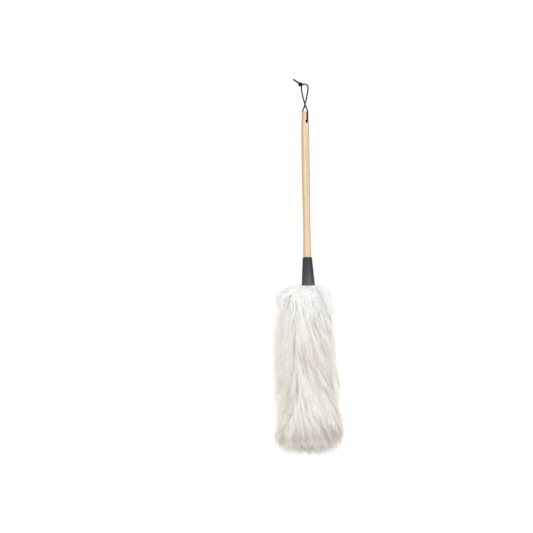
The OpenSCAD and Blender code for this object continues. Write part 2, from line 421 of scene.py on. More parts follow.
def make_pebble() -> bpy.types.NodeTree:
    """Rounded pebbles with creases between them, as in leather, at a number of pebbles in each metre.

    Returns:
        The group.
    """
    graph, given, result = new_group("pebble", {"Vector": None, "Rate": 1400, "Crease": 0.35}, "Height")
    edge = {"Vector": given["Vector"], "Scale": given["Rate"], "Randomness": 0.9}
    cells = graph.add("ShaderNodeTexVoronoi", edge, feature="DISTANCE_TO_EDGE")
    raised = {"Value": cells.outputs["Distance"], "From Min": 0.0, "From Max": given["Crease"]}
    step = graph.add("ShaderNodeMapRange", raised, interpolation_type="SMOOTHSTEP")
    graph.tree.links.new(step.outputs[0], result)
    return graph.tree


@dataclass(frozen=True)
class Effects:
    """The effects that several finishes share, each built once."""

    streaks: bpy.types.NodeTree = field(default_factory=make_streaks)
    mottle: bpy.types.NodeTree = field(default_factory=make_mottle)
    pebble: bpy.types.NodeTree = field(default_factory=make_pebble)


def start_material(name: str) -> tuple[bpy.types.Material, Graph, bpy.types.Node]:
    """A new material with its graph and its Principled shader.

    Args:
        name: Name of the material.

    Returns:
        The material, its graph and its shader.
    """
    material = bpy.data.materials.new(name)
    material.use_nodes = True
    shader = next(node for node in material.node_tree.nodes if node.type == "BSDF_PRINCIPLED")
    return material, Graph(material.node_tree), shader


def set_inputs(graph: Graph, shader: bpy.types.Node, **inputs: object) -> None:
    """Sets or joins a shader's inputs, named with underscores in place of spaces."""
    graph.feed(shader, {name.replace("_", " "): value for name, value in inputs.items()})


# ---------------------------------------------------------------- finishes


@dataclass(frozen=True)
class LacqueredWood:
    """Pale straight-grained wood under a thin lacquer, with painted shade towards both sides and in the cross
    hole, and a scribed line.
    """

    effects: Effects
    hole_top: float
    line_z: float
    light: Colour = (0.60, 0.475, 0.34)
    cream: Colour = (0.57, 0.43, 0.285)
    tan: Colour = (0.45, 0.305, 0.18)
    # Painted shade inside the cross hole.
    hole_painted_shade: Colour = (0.24, 0.13, 0.055)
    band_wander: float = 1.0 * MM
    # Painted shade down the rod's left and right sides: where it starts, where it is full, and its strength.
    left_painted_shade: tuple[float, float, float] = (-1.6 * MM, -3.6 * MM, 0.8)
    right_painted_shade: tuple[float, float, float] = (3.6 * MM, 5.2 * MM, 0.85)
    thin_band: float = 0.6 * MM

    def banded(self, graph: Graph, x: Socket, bands: Socket) -> Socket:
        """Soft growth bands, with painted shade towards both sides and darker wood in one thin line.

        Args:
            graph: The material's graph.
            x: Distance to the right of the rod's axis.
            bands: Broad streaks, from 0 to 1.

        Returns:
            The wood's colour.
        """
        stops = [(0.32, self.tan), (0.42, self.cream), (0.55, self.light), (0.7, self.cream)]
        wood = graph.ramp(bands, stops)
        wander = graph.fade(bands, 0.3, 0.7, -self.band_wander, self.band_wander)
        across = graph.math("ADD", x, wander)
        # Painted shade towards both sides of the rod.
        for start, end, share in (self.left_painted_shade, self.right_painted_shade):
            wood = graph.mix(graph.fade(across, start, end, 0.0, share), wood, self.tan)
        ring = graph.distance(across, self.thin_band)
        return graph.mix(graph.fade(ring, 0.9 * MM, 0.2 * MM, 0.0, 0.4), wood, self.tan)

    def make(self) -> bpy.types.Material:
        """Growth bands and fine fibres along the handle, with painted shade in the hole and the line laid
        over them.

        Returns:
            The material.
        """
        material, graph, shader = start_material("lacquered_wood")
        place = graph.add("ShaderNodeTexCoord").outputs["Object"]
        x, y, z = graph.add("ShaderNodeSeparateXYZ", {0: place}).outputs
        broad = {"Vector": place, "Across X": 300, "Across Y": 110, "Along": 2.4}
        narrow = {"Vector": place, "Across X": 2600, "Across Y": 2600, "Along": 55}
        bands = graph.effect(self.effects.streaks, broad)
        fibres = graph.effect(self.effects.streaks, narrow)
        wood = graph.shaded(self.banded(graph, x, bands), graph.fade(fibres, 0.3, 0.7, 0.86, 1.05))
        # Painted shade inside the cross hole: below the hole's top and within the rod.
        squares = graph.math("ADD", graph.math("POWER", x, 2), graph.math("POWER", y, 2))
        below_end = graph.fade(z, self.hole_top, self.hole_top - MM)
        near_rod = graph.fade(graph.math("SQRT", squares), 6.5 * MM, 5.0 * MM)
        wood = graph.mix(graph.math("MULTIPLY", near_rod, below_end), wood, self.hole_painted_shade)
        off_line = graph.distance(z, self.line_z)
        wood = graph.mix(graph.fade(off_line, 0.5 * MM, 0.1 * MM, 0.0, 0.4), wood, self.tan)
        set_inputs(
            graph, shader,
            Base_Color=wood,
            Roughness=graph.fade(fibres, 0.3, 0.7, 0.5, 0.36),
            Specular_IOR_Level=0.25, Coat_Weight=0.1, Coat_Roughness=0.22,
            Normal=graph.bump(fibres, 0.05 * MM),
        )
        return material


@dataclass(frozen=True)
class CharcoalLeather:
    """Charcoal leather, darker where its edges are burnished, lighter towards its lower edge, with painted
    highlights down its front and along its crease.
    """

    effects: Effects
    rim: Colour = (0.003, 0.003, 0.0035)
    # Painted highlight along the pressed crease, just below the upper rim.
    line: Colour = (0.07, 0.07, 0.075)
    upper: Colour = (0.024, 0.024, 0.0275)
    middle: Colour = (0.036, 0.036, 0.042)
    lower: Colour = (0.064, 0.064, 0.073)
    # Place round the map of the painted highlight down the front.
    front: float = 0.508

    def make(self) -> bpy.types.Material:
        """Pebbled bump over a colour that follows the distance from the upper edge, with a painted highlight
        down the front.

        Returns:
            The material.
        """
        material, graph, shader = start_material("charcoal_leather")
        place = graph.add("ShaderNodeTexCoord").outputs["Object"]
        lay = graph.add("ShaderNodeUVMap", uv_map="lay").outputs[0]
        around, down = graph.add("ShaderNodeSeparateXYZ", {0: lay}).outputs[:2]
        # The line stop, just below the upper rim, is a painted highlight along the crease.
        stops = [
            (0.0, self.rim), (0.048, self.rim), (0.058, self.line), (0.075, self.upper),
            (0.5, self.middle), (0.95, self.lower), (1.0, self.rim),
        ]
        # Painted highlight: lighter at the front middle, darker towards the sides.
        painted_highlight = graph.fade(graph.distance(around, self.front), 0.02, 0.11, 1.2, 0.8)
        clouds = graph.effect(self.effects.mottle, {"Vector": place, "Rate": 260, "Low": 0.84, "High": 1.16})
        gloss = graph.effect(self.effects.mottle, {"Vector": place, "Rate": 500, "Low": 0.42, "High": 0.56})
        pebble = graph.effect(self.effects.pebble, {"Vector": place, "Rate": 1300})
        set_inputs(
            graph, shader,
            Base_Color=graph.shaded(graph.ramp(down, stops), graph.math("MULTIPLY", clouds, painted_highlight)),
            Roughness=gloss,
            Specular_IOR_Level=0.16,
            Normal=graph.bump(pebble, 0.06 * MM, 0.7),
        )
        return material


@dataclass(frozen=True)
class Hide:
    """The flesh side of sheepskin: pale, matte and slightly napped."""

    effects: Effects
    pale: Colour = (0.76, 0.67, 0.53)
    dark: Colour = (0.55, 0.44, 0.31)

    def make(self) -> bpy.types.Material:
        """Clouds between two tones with a napped bump.

        Returns:
            The material.
        """
        material, graph, shader = start_material("sheep_hide")
        place = graph.add("ShaderNodeTexCoord").outputs["Object"]
        clouds = graph.effect(self.effects.mottle, {"Vector": place, "Rate": 90, "Low": 0.0, "High": 1.0})
        nap = graph.effect(self.effects.pebble, {"Vector": place, "Rate": 2400, "Crease": 0.5})
        set_inputs(
            graph, shader,
            Base_Color=graph.mix(clouds, self.dark, self.pale),
            Roughness=0.93,
            Normal=graph.bump(nap, 0.08 * MM, 0.6),
        )
        return material


@dataclass(frozen=True)
class TackMetal:
    """Stamped metal, with a slightly dulled surface, worn by hands."""

    effects: Effects
    name: str
    bright: Colour
    dull: Colour

    def make(self) -> bpy.types.Material:
        """Clouds of tarnish over metal, which is rougher where it is dull.

        Returns:
            The material.
        """
        material, graph, shader = start_material(self.name)
        place = graph.add("ShaderNodeTexCoord").outputs["Object"]
        tarnish = graph.effect(self.effects.mottle, {"Vector": place, "Rate": 900, "Low": 0.0, "High": 1.0})
        fine = {"Vector": place, "Across X": 5000, "Across Y": 5000, "Along": 900}
        brushed = graph.effect(self.effects.streaks, fine)
        set_inputs(
            graph, shader,
            Base_Color=graph.mix(tarnish, self.bright, self.dull),
            Metallic=1.0,
            Roughness=graph.fade(tarnish, 0.0, 1.0, 0.26, 0.5),
            Normal=graph.bump(brushed, 0.02 * MM, 0.5),
        )
        return material


@dataclass(frozen=True)
class WaxedCord:
    """Black round cord of plaited threads, waxed."""

    effects: Effects
    black: Colour = (0.0025, 0.0025, 0.003)
    worn: Colour = (0.007, 0.0073, 0.008)
    threads: float = 4.0
    plait: float = 420.0

    def make(self) -> bpy.types.Material:
        """Two sets of ridges that wind against each other along the cord.

        Returns:
            The material.
        """
        material, graph, shader = start_material("waxed_cord")
        place = graph.add("ShaderNodeTexCoord").outputs["Object"]
        lay = graph.add("ShaderNodeUVMap", uv_map="lay").outputs[0]
        part = graph.add("ShaderNodeSeparateXYZ", {0: lay}).outputs
        round_cord = graph.math("MULTIPLY", part[0], self.threads)
        along = graph.math("MULTIPLY", part[1], self.plait)
        ridges = []
        for sense in ("ADD", "SUBTRACT"):
            phase = graph.math("MULTIPLY", graph.math(sense, round_cord, along), np.pi)
            ridges.append(graph.math("ABSOLUTE", graph.math("SINE", phase)))
        plaited = graph.math("MAXIMUM", *ridges)
        wear = graph.effect(self.effects.mottle, {"Vector": place, "Rate": 400, "Low": 0.0, "High": 0.7})
        set_inputs(
            graph, shader,
            Base_Color=graph.mix(graph.math("MULTIPLY", wear, plaited), self.black, self.worn),
            Roughness=graph.fade(wear, 0.0, 0.7, 0.46, 0.64),
            Specular_IOR_Level=0.1,
            Normal=graph.bump(plaited, 0.12 * MM, 0.5),
        )
        return material


@dataclass(frozen=True)
class Wool:
    """Wool whose colour follows its own map: from clean to dirty and shaded across it, and root to end along
    it, with painted shade at the root.
    """

    clean: Colour = (0.97, 0.967, 0.96)
    cream: Colour = (0.91, 0.87, 0.79)
    # Dark end of the tone: partly dirt and partly painted shade.
    soiled: Colour = (0.60, 0.55, 0.485)
    # Painted shade deep in the pile, at the strands' roots.
    root: Colour = (0.82, 0.73, 0.60)
    white: Colour = (1.0, 1.0, 1.0)

    def make(self) -> bpy.types.Material:
        """Tone across the map, with painted shade, darker and warmer, near the root, and a soft sheen.

        Returns:
            The material.
        """
        material, graph, shader = start_material("lambswool")
        lay = graph.add("ShaderNodeUVMap", uv_map="OFBake").outputs[0]
        part = graph.add("ShaderNodeSeparateXYZ", {0: lay}).outputs
        tone = graph.ramp(part[0], [(0.0, self.clean), (0.5, self.cream), (1.0, self.soiled)])
        # Painted shade near the root, fading out along the strand.
        root_shade_share = graph.fade(part[1], 0.1, 0.75, 1.0, 0.0)
        shade = graph.mix(root_shade_share, self.white, self.root)
        set_inputs(
            graph, shader,
            Base_Color=graph.mix(1.0, tone, shade, "MULTIPLY"),
            Roughness=0.8, Specular_IOR_Level=0.2, Sheen_Weight=0.4, Sheen_Roughness=0.4,
        )
        return material


# ---------------------------------------------------------------- studio


@dataclass
class Studio:
    """Camera, floor, surroundings and lamps."""

    distance: float = 3.3
    lens: float = 124.0
    sensor: float = 36.0
    hang_right: float = 0.0685
    hang_up: float = 0.3267
    tilt: float = 0.9
    floor_gap: float = 0.5
    floor_r: float = 1.9
    cast: float = 0.87
    # Name, place, length of the side and power of each lamp
    lamps: tuple[tuple[str, Point, float, float], ...] = (
        ("key", (1.9, -2.4, 0.2), 1.4, 53.0),
        ("fill", (-2.2, -1.8, -0.2), 1.6, 36.0),
        ("rim", (0.9, 2.5, 0.4), 1.5, 40.0),
    )

    def set_camera(self) -> None:
        """A level camera in front, tilted about its line of sight, with the loop's top up and right."""
        turn = np.radians(self.tilt)
        right = np.array([np.cos(turn), 0.0, -np.sin(turn)])
        up = np.array([np.sin(turn), 0.0, np.cos(turn)])
        back = np.array([0.0, -1.0, 0.0])
        place = back * self.distance - right * self.hang_right - up * self.hang_up
        pose = np.eye(4)
        pose[:3] = np.stack([right, up, back, place], axis=1)
        data = bpy.data.cameras.new("camera")
        data.lens = self.lens
        data.sensor_width = self.sensor
        camera = bpy.data.objects.new("camera", data)
        camera.matrix_world = Matrix(pose.tolist())
        bpy.context.scene.collection.objects.link(camera)
        bpy.context.scene.camera = camera

    def lay_floor(self) -> None:
        """A plain pale round floor well below the wool."""
        level = CAD_BOX[0][2] - self.floor_gap
        turn = 2 * np.pi * np.arange(96) / 96
        rim = np.stack([self.floor_r * np.cos(turn), self.floor_r * np.sin(turn), np.full(96, level)], axis=1)
        middle = np.array([[0.0, 0.0, level]])
        tris = pole_fan(0, 96, 96, False)
        floor = add_object("floor", np.concatenate([rim, middle]), np.zeros((0, 4), int), tris)
        material, graph, shader = start_material("pale_floor")
        set_inputs(graph, shader, Base_Color=(0.93, 0.93, 0.93, 1.0), Roughness=0.9)
        floor.data.materials.append(material)

    def light(self) -> None:
        """Even white surroundings, with a broad lamp from the front right and weaker ones elsewhere."""
        scene = bpy.context.scene
        scene.view_settings.view_transform = "Standard"
        scene.cycles.diffuse_bounces = 10
        world = bpy.data.worlds.new("surroundings")
        scene.world = world
        world.use_nodes = True
        world.node_tree.nodes.clear()
        graph = Graph(world.node_tree)
        white = {"Color": (1.0, 1.0, 1.0, 1.0)}
        seen = graph.add("ShaderNodeBackground", {**white, "Strength": 1.0}).outputs[0]
        cast = graph.add("ShaderNodeBackground", {**white, "Strength": self.cast}).outputs[0]
        direct = graph.add("ShaderNodeLightPath").outputs["Is Camera Ray"]
        blend = graph.add("ShaderNodeMixShader", {0: direct, 1: cast, 2: seen}).outputs[0]
        graph.add("ShaderNodeOutputWorld", {0: blend})
        for lamp in self.lamps:
            self.lamp(*lamp)

    def lamp(self, name: str, place: Point, size: float, power: float) -> None:
        """A square area lamp that faces the middle of the duster.

        Args:
            name: Name of the lamp.
            place: Where it stands.
            size: Length of its side.
            power: Its power in watts.
        """
        data = bpy.data.lights.new(name, "AREA")
        data.size = size
        data.energy = power
        back = unit(np.array(place) - np.array([0.0, 0.0, CAD_BOX[0][2] / 2]))
        right = unit(np.cross([0.0, 0.0, 1.0], back))
        pose = np.eye(4)
        pose[:3] = np.stack([right, np.cross(back, right), back, np.array(place)], axis=1)
        lamp = bpy.data.objects.new(name, data)
        lamp.matrix_world = Matrix(pose.tolist())
        bpy.context.scene.collection.objects.link(lamp)


# ---------------------------------------------------------------- cord loop


@dataclass
class HangingLoop:
    """The cord through the handle's cross hole, and the knot that closes it."""

    effects: Effects
    cord_d: float = 2.5 * MM
    sides: int = 16
    steps: int = 9
    hole_turn: float = 30.0
    knot_at: Point = (-7.4 * MM, 0.0, 0.6 * MM)
    tail_angle: float = 143.0
    tail_spread: float = 7.0
    tail_len: float = 13 * MM
    wrap_r: float = 2.75 * MM
    wrap_turns: float = 2.6
    wrap_pitch: float = 2.55 * MM
    # From the middle of the cross hole up the front strand to the loop's top, in millimetres
    front_strand: tuple[Point, ...] = (
        (0, 0, -65.1), (1.2, -2.1, -65.1), (2.3, -4, -65.1), (3.3, -5.7, -64.4),
        (4, -7, -62.8), (4.3, -7.5, -60.4), (4.3, -7.5, -57), (4.3, -7.5, -53),
        (4.3, -7.5, -49), (3.5, -7, -44.8), (1.7, -6.2, -40.8), (0.1, -5.2, -36.2),
        (-1.5, -4.1, -30.2), (-3.2, -2.7, -23.2), (-4.8, -1.2, -15.3), (-5.8, -0.2, -7.8),
        (-5.6, 0, -2.6), (-3.5, 0, 0.1), (0, 0, 1.25),
    )

    def middle_line(self) -> np.ndarray:
        """The cord's middle line, from the hole round to the hole again.

        Formula in words: the back strand is the front one turned half round the vertical axis, and a
        Catmull-Rom curve runs through both, so each stretch is set by the two points on either side of it.

        Returns:
            The points of the line, the last at the same place as the first.
        """
        front = np.array(self.front_strand, float) * MM
        route = np.concatenate([front, front[-2:0:-1] * [-1, -1, 1]])
        before, here, after, beyond = (np.roll(route, shift, axis=0)[:, None] for shift in (1, 0, -1, -2))
        t = (np.arange(self.steps) / self.steps)[None, :, None]
        curve = (
            2 * here + (after - before) * t + (2 * before - 5 * here + 4 * after - beyond) * t**2
            + (3 * here - before - 3 * after + beyond) * t**3
        ) / 2
        return np.concatenate([curve.reshape(-1, 3), route[:1]])

    def build_cord(self) -> bpy.types.Object:
        """The loop's tube, turned by the hole's own direction, so that its ends meet in the hole.

        Returns:
            The cord.
        """
        turn = np.radians(self.hole_turn)
        line = self.middle_line()
        shape = tube(line, np.array([np.cos(turn), np.sin(turn), 0.0]), self.cord_d / 2, self.sides)
        cord = add_object("loop_cord", *shape)
        length = float(np.linalg.norm(np.diff(line, axis=0), axis=1).sum())
        LOG.info("loop_cord: %.1f mm of cord", length / MM)
        place_piece(cord, Body.LOOP, Slot.CORD, "hanging_cord")
        self.declared = {"exit": tuple(line[0]), "length": length, "path": line.tolist()}
        return cord

    def build_knot(self) -> bpy.types.Object:
        """The knot's wraps round the doubled cord, and its two tails with sealed ends.

        Formula in words: the wraps are a helix round the knot's axis, drawn in to the axis at both ends. Each
        tail is a straight line through the knot, swollen to a round bead where its end is sealed.

        Returns:
            The knot.
        """
        angle = np.radians(self.tail_angle)
        axis = np.array([np.cos(angle), 0.0, np.sin(angle)])
        across = np.array([-np.sin(angle), 0.0, np.cos(angle)])
        front = np.array([0.0, -1.0, 0.0])
        t = np.linspace(0, 1, 110)
        spin = 2 * np.pi * self.wrap_turns * t
        drawn = self.wrap_r * ease(t / 0.12) * ease((1 - t) / 0.12) ** 0.7
        outward = np.cos(spin)[:, None] * across + np.sin(spin)[:, None] * front
        wraps = (
            self.knot_at + axis * (self.wrap_pitch * self.wrap_turns * (t - 0.5))[:, None]
            + outward * drawn[:, None]
        )
        parts = [tube(wraps, axis, self.cord_d / 2, self.sides)]
        reach = np.linspace(0, 1, 40)
        length = self.wrap_pitch * self.wrap_turns / 2 + self.tail_len
        to_end = (1 - reach) * length
        bead = 0.12 * np.exp(-((to_end - 1.3 * MM) / (0.9 * MM)) ** 2)
        cap = rounded(to_end, 1.1 * MM, 0.02)
        for sense in (-1, 1):
            lean = np.radians(sense * self.tail_spread)
            ahead = np.cos(lean) * axis + np.sin(lean) * front
            bow = front * (0.9 * MM * sense * np.sin(np.pi * reach))[:, None] + across * (0.35 * MM * sense)
            line = self.knot_at + ahead * (reach * length)[:, None] + bow
            parts.append(tube(line, front, self.cord_d / 2 * (1 + bead) * cap, self.sides))
        return place_piece(add_object("loop_knot", *joined(parts)), Body.LOOP, Slot.CORD, "cord_knot")

    def build(self) -> None:
        """Both pieces, in one finish, with the cord's exit, length and path kept on the loop."""
        cord = self.build_cord()
        knot = self.build_knot()
        finish = WaxedCord(self.effects).make()
        for piece in (cord, knot):
            piece.data.materials.append(finish)


# ---------------------------------------------------------------- handle and tacks


@dataclass
class HandleAndTacks:
    """The CAD pieces that keep their shapes: the handle and the three sets of tacks."""

    effects: Effects
    hole_top: float = -57 * MM
    line_z: float = -306 * MM

    def dress(self) -> None:
        """Gives each CAD piece its finish."""
        brass = TackMetal(self.effects, "antique_brass", (0.55, 0.42, 0.22), (0.2, 0.145, 0.08)).make()
        steel = TackMetal(self.effects, "tack_steel", (0.66, 0.66, 0.67), (0.4, 0.39, 0.38)).make()
        wood = LacqueredWood(self.effects, self.hole_top, self.line_z).make()
        finishes = {"handle": wood, "collar_tack": brass, "strip_tacks": steel, "tip_tack": steel}
        for name, finish in finishes.items():
            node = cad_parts[name]
            if not node.material_slots:
                node.data.materials.append(None)
            for slot in node.material_slots:
                slot.link = "OBJECT"
                slot.material = finish
            LOG.info("%s: %s", name, finish.name)


# ---------------------------------------------------------------- collar


@dataclass
class Collar:
    """A straight-cut sheet of leather rolled into a cone round the rod and lapped at the back."""

    effects: Effects
    top_z: float
    length: float = 52 * MM
    wall: float = 0.9 * MM
    top_r: float = 8.4 * MM
    mouth_r: float = 12.2 * MM
    lap_angle: float = 34.0
    lap_ramp: float = 30.0
    lap_lift: float = 1.05 * MM
    lean: float = 1.2 * MM
    crease_at: float = 2.8 * MM
    crease_w: float = 0.35 * MM
    crease_in: float = 0.14 * MM
    cols: int = 220
    rows: int = 30
    fine_rows: int = 18
    fine_to: float = 0.09

    def place(self, turn: np.ndarray, down: np.ndarray, skin: np.ndarray) -> np.ndarray:
        """Points of the rolled sheet.

        Formula in words: straight cuts lie across a cone, so the distance from the cone's tip grows with one
        over the cosine of the unrolled angle. The outer end lifts over the inner one, and the whole leans.

        Args:
            turn: Angle from the front, in degrees.
            down: 0 at the upper edge and 1 at the lower one.
            skin: Height over the inner skin, in metres.

        Returns:
            The points, with a last axis of three.
        """
        cone = np.arctan((self.mouth_r - self.top_r) / self.length)
        top = self.top_r / np.sin(cone)
        end = self.mouth_r / np.sin(cone)
        around = np.radians(turn)
        slant = (top + (end - top) * down) / np.cos(around * np.sin(cone))
        lift = self.lap_lift * ease((turn - 180 + self.lap_angle / 2 + self.lap_ramp) / self.lap_ramp)
        radius = slant * np.sin(cone) + lift - self.wall + skin
        drop = (slant - top) * np.cos(cone)
        x = radius * np.sin(around) + self.lean * drop / self.length
        return np.stack([x, -radius * np.cos(around), self.top_z - drop], axis=-1)

    def dip(self, turn: np.ndarray) -> np.ndarray:
        """How much lower than at the front the lower edge is, at an angle from the front in degrees."""
        cone = np.arctan((self.mouth_r - self.top_r) / self.length)
        return self.mouth_r / np.tan(cone) * (1 / np.cos(np.radians(turn) * np.sin(cone)) - 1)

    def build(self) -> bpy.types.Object:
        """The sheet with rounded edges, a pressed crease below its upper edge and a slightly worn lower edge.

        Formula in words: a flat loop goes down the outer skin, round the lower edge, up the inner skin and
        round the upper edge. It is carried round the cone, and its thickness closes at both ends as a circle.

        Returns:
            The collar.
        """
        half = self.wall / 2
        bend = np.linspace(0, np.pi, 9)[1:-1]
        edge = half / self.length
        fine = np.linspace(edge, self.fine_to, self.fine_rows)
        flat = np.concatenate([fine, np.linspace(self.fine_to, 1 - edge, self.rows)[1:]])
        outer = np.stack([flat, np.ones(len(flat))], axis=1)
        lower = np.stack([1 - edge + edge * np.sin(bend), np.cos(bend)], axis=1)
        upper = np.stack([edge - edge * np.sin(bend), -np.cos(bend)], axis=1)
        ring = np.concatenate([outer, lower, outer[::-1] * [1, -1], upper])
        wrap = 180 + self.lap_angle / 2
        turn = wrap * np.linspace(-1, 1, self.cols)
        to_end = np.radians(wrap - np.abs(turn)) * self.mouth_r
        swell = rounded(to_end, half)
        wear = 0.35 * MM * (np.sin(np.radians(turn) * 5.3 + 1) + 0.6 * np.sin(np.radians(turn) * 12.7))
        down = ring[None, :, 0] + (wear / self.length)[:, None] * ring[None, :, 0] ** 12
        side = np.broadcast_to(ring[None, :, 1], down.shape)
        pressed = np.exp(-((down * self.length - self.crease_at) / self.crease_w) ** 2) * (side > 0.99)
        ripple = np.sin(np.radians(turn) * 3.1 + 2)[:, None] * np.sin(down * 7.0 + 1.3) * (side > 0.99)
        relief = 0.1 * MM * ripple - self.crease_in * pressed
        skin = half + (half * side + relief) * swell[:, None]
        points = self.place(turn[:, None], down, skin)
        count = len(ring)
        quads = lap_index(self.cols, count, True)
        col, row = np.divmod(quads, count)
        corner_uv = np.stack([col / (self.cols - 1), down[col, row]], axis=-1).reshape(-1, 2)
        piece = add_object("collar_sleeve", points.reshape(-1, 3), quads, corner_uv=corner_uv)
        close_seams(piece)
        piece.data.materials.append(CharcoalLeather(self.effects).make())
        place_piece(piece, Body.DUSTER, Slot.LEATHER, "collar")
        return piece


def close_seams(piece: bpy.types.Object, gap: float = 1e-6) -> None:
    """Merges points that lie together, and turns all faces outwards.

    Args:
        piece: The piece to close.
        gap: Greatest distance between merged points.
    """
    form = bmesh.new()
    form.from_mesh(piece.data)
    bmesh.ops.remove_doubles(form, verts=form.verts, dist=gap)
    bmesh.ops.recalc_face_normals(form, faces=form.faces)
    form.to_mesh(piece.data)
    form.free()


# ---------------------------------------------------------------- pelt


@dataclass
class Pelt:
    """The strip of hide wound round the rod, and the patch over the rod's end."""

    effects: Effects
    top_z: float
    rod_end_z: float
    inner_r: float = 7.5 * MM
    wall: float = 1.6 * MM
    width: float = 30 * MM
    gap: float = 1 * MM
    cols_per_turn: int = 48
    patch_gap: float = 0.1 * MM

    @property
    def turns(self) -> float:
        """How many times the strip goes round the rod."""
        return (self.top_z - self.rod_end_z - self.width) / (self.width + self.gap)

    def build_strip(self) -> bpy.types.Object:
        """The wound strip.

        Formula in words: a flat loop goes down the outer skin, round the lower edge and up the inner skin. It
        is carried down a helix that starts at the back, and closes at both ends.

        Returns:
            The strip.
        """
        half = self.wall / 2
        bend = np.linspace(0, np.pi, 7)
        lower = np.stack([self.width - half + half * np.sin(bend), half + half * np.cos(bend)], axis=1)
        upper = np.stack([half - half * np.sin(bend), half - half * np.cos(bend)], axis=1)
        ring = np.concatenate([upper, lower])
        cols = int(self.turns * self.cols_per_turn)
        t = np.linspace(0, self.turns, cols)[:, None]
        to_end = np.minimum(t, self.turns - t) * 2 * np.pi * self.inner_r
        swell = rounded(to_end, half)
        radius = self.inner_r + half + (ring[None, :, 1] - half) * swell
        around = np.pi / 2 + 2 * np.pi * t
        height = self.top_z - (self.width + self.gap) * t - ring[None, :, 0]
        points = np.stack([radius * np.cos(around), radius * np.sin(around), height], axis=-1)
        piece = add_object("pelt_wrap", points.reshape(-1, 3), lap_index(cols, len(ring), True))
        close_seams(piece)
        return place_piece(piece, Body.DUSTER, Slot.HIDE, "pelt_strip")

    def build_patch(self) -> bpy.types.Object:
        """The round patch.

        Formula in words: a half outline from the middle of the upper face round the edge to the middle of
        the lower face is turned about the rod's axis.

        Returns:
            The patch.
        """
        half = self.wall / 2
        rim = self.inner_r + self.wall - half
        bend = np.linspace(0, np.pi, 9)
        outline = np.stack([rim + half * np.sin(bend), half * np.cos(bend) - half], axis=1)
        spin = 2 * np.pi * np.arange(64) / 64
        height = self.rod_end_z - self.patch_gap
        radius = outline[:, :1]
        level = np.broadcast_to(outline[:, 1:] + height, (len(outline), len(spin)))
        points = about_rod(radius, spin, level).reshape(-1, 3)
        poles = np.array([[0, 0, height], [0, 0, height - self.wall]])
        last = (len(outline) - 1) * len(spin)
        tris = np.concatenate([
            pole_fan(0, len(spin), len(points), False),
            pole_fan(last, len(spin), len(points) + 1, True),
        ])
        quads = lap_index(len(outline), len(spin), True)
        piece = add_object("tip_disc", np.concatenate([points, poles]), quads, tris)
        close_seams(piece)
        return place_piece(piece, Body.DUSTER, Slot.HIDE, "tip_patch")

    def build(self, pile: list[bpy.types.Object]) -> None:
        """Both pieces of hide in one finish.

        Args:
            pile: The pieces of wool; not used.
        """
        finish = Hide(self.effects).make()
        strip = self.build_strip()
        for piece in (strip, self.build_patch()):
            piece.data.materials.append(finish)


# ---------------------------------------------------------------- wool


@dataclass
class WoolOutline:
    """The wool's outer shape in a half plane through the rod.

    Formula in words: from the throat a quarter of a superellipse runs out to the shoulder, a straight flank
    widens to the belly, and another quarter superellipse runs in to the middle of the flat tip. The first
    one starts lower, inside the collar's mouth, and eases up to its crest.
    """

    top_z: float
    end_z: float
    throat_r: float = 11.0 * MM
    shoulder_r: float = 57.5 * MM
    belly_r: float = 66 * MM
    shoulder_drop: float = 42 * MM
    tip_rise: float = 40 * MM
    shoulder_power: float = 2.25
    tip_power: float = 3.5
    crest_gap: float = 2.3 * MM
    throat_dip: float = 2.7 * MM
    throat_span: float = 8 * MM
    lit_span: float = 45 * MM

    def __post_init__(self) -> None:
        """Works out the outline's points, their distances along it and its outward directions."""
        bend = np.linspace(0, np.pi / 2, 160)
        top_bend = 2 / self.shoulder_power
        tip_bend = 2 / self.tip_power
        reach = self.shoulder_r - self.throat_r
        shoulder = np.stack([
            self.throat_r + reach * np.sin(bend) ** top_bend,
            self.top_z - self.crest_gap - self.shoulder_drop * (1 - np.cos(bend).clip(0) ** top_bend),
        ])
        shoulder[1] -= self.throat_dip * (1 - ease((shoulder[0] - self.throat_r) / self.throat_span))
        tip = np.stack([
            self.belly_r * np.cos(bend).clip(0) ** tip_bend,
            self.end_z + self.tip_rise * (1 - np.sin(bend) ** tip_bend),
        ])
        flank = np.linspace(shoulder[:, -1], tip[:, 0], 40, axis=1)[:, 1:-1]
        rough = np.concatenate([shoulder, flank, tip], axis=1)
        run = np.concatenate([[0], np.cumsum(np.hypot(*np.diff(rough, axis=1)))])
        self.run = np.linspace(0, run[-1], 700)
        self.radius = np.interp(self.run, run, rough[0])
        self.height = np.interp(self.run, run, rough[1])
        ahead = unit(np.stack([np.gradient(self.radius), np.gradient(self.height)], axis=-1))
        self.out_r = -ahead[:, 1]
        self.out_z = ahead[:, 0]
        span = int(self.lit_span / self.run[1])
        window = np.hanning(2 * span + 1)
        padded = np.pad(ahead, ((span, span), (0, 0)), mode="edge")
        smooth = unit(np.stack([np.convolve(line, window, "valid") for line in padded.T], axis=-1))
        self.lit_r = -smooth[:, 1]
        self.lit_z = smooth[:, 0]
        self.tip_run = float(run[shoulder.shape[1] + flank.shape[1]])

    def at(self, run: np.ndarray) -> tuple[np.ndarray, ...]:
        """Radius, height, outward direction and a smoother outward direction, at distances along it."""
        lines = (self.radius, self.height, self.out_r, self.out_z, self.lit_r, self.lit_z)
        return tuple(np.interp(run, self.run, line) for line in lines)


